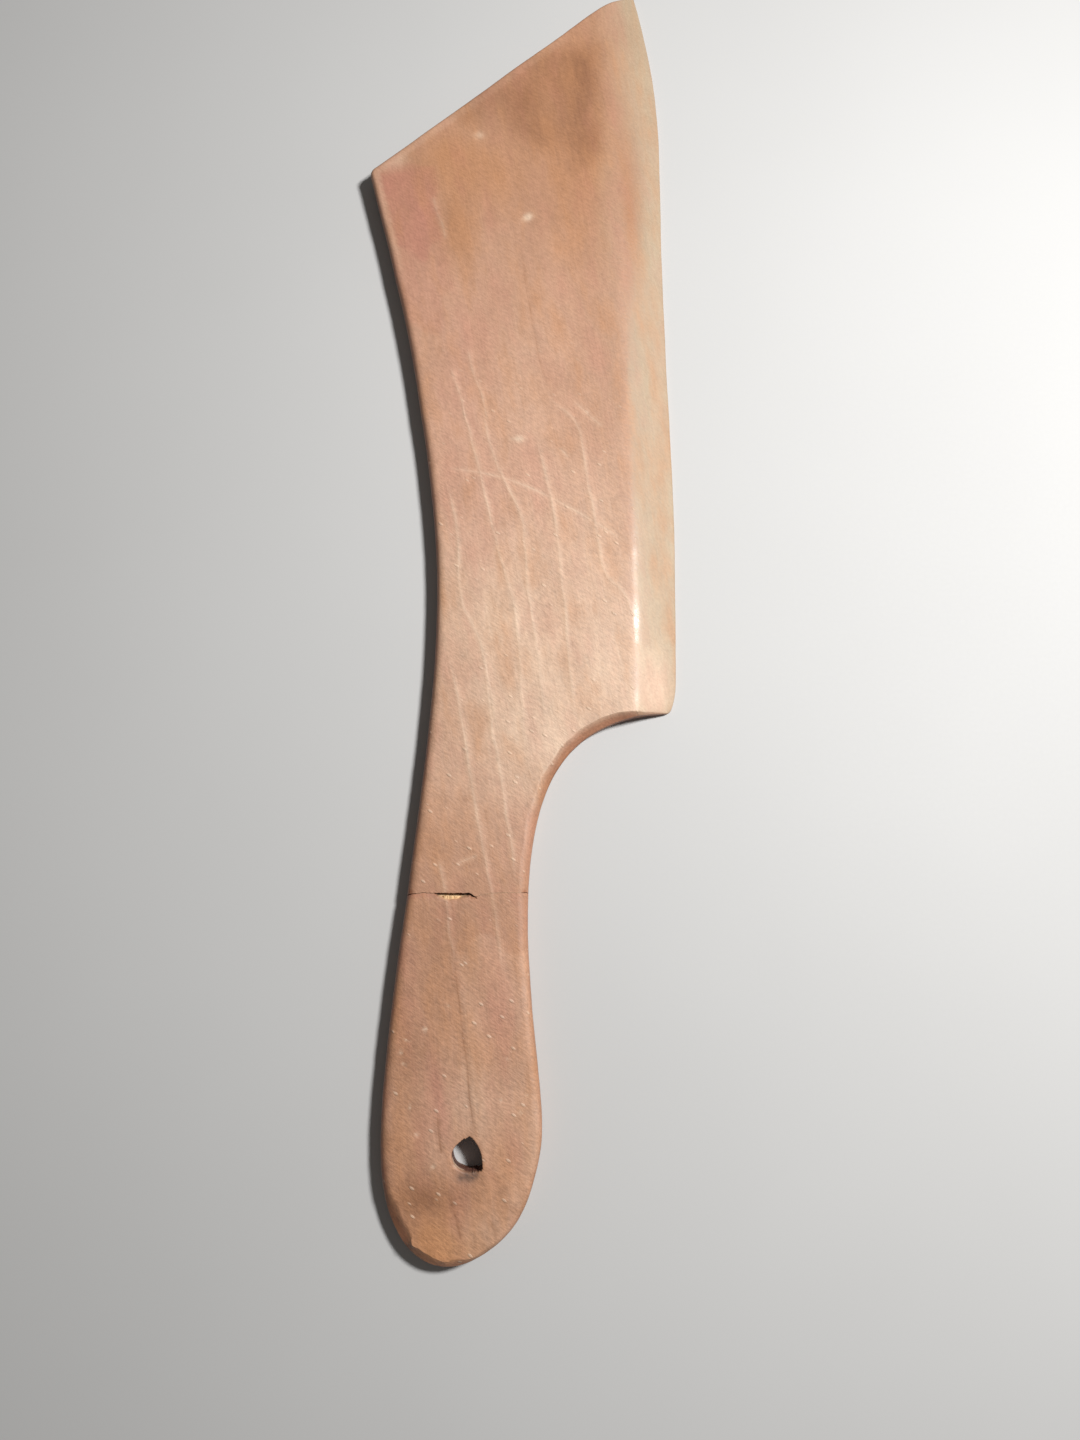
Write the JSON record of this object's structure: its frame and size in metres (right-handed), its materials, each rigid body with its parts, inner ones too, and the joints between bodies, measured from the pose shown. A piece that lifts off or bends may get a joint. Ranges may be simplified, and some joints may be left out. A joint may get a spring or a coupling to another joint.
{
  "type": "wooden spatula",
  "caption": "Flat wooden kitchen spatula shaped like a small cleaver, with a rounded grip, hanging hole, finger hollow, bevelled edge and slanted end, glued back together across its waist",
  "frame": {"origin": "on the axis of the hanging hole, at the back face", "axes": "+Y up the grip towards the tip of the blade, +X towards the scraping edge, +Z out of the front face, along the hole"},
  "size_m": [0.0735, 0.3046, 0.006],
  "materials": {
    "wood": "worn, hand-rubbed reddish-brown fruitwood, satin where it is handled, with paler raised grain lines",
    "glue": "old hardened wood glue, dark amber, dull and dirty at the surface",
    "fresh_wood": "bare pale straw-coloured torn wood, matt"
  },
  "bodies": {
    "root": {"blade_piece": "wood", "handle_piece": "wood", "glue_film": "glue", "torn_sliver": "fresh_wood"}
  },
  "joints": []
}
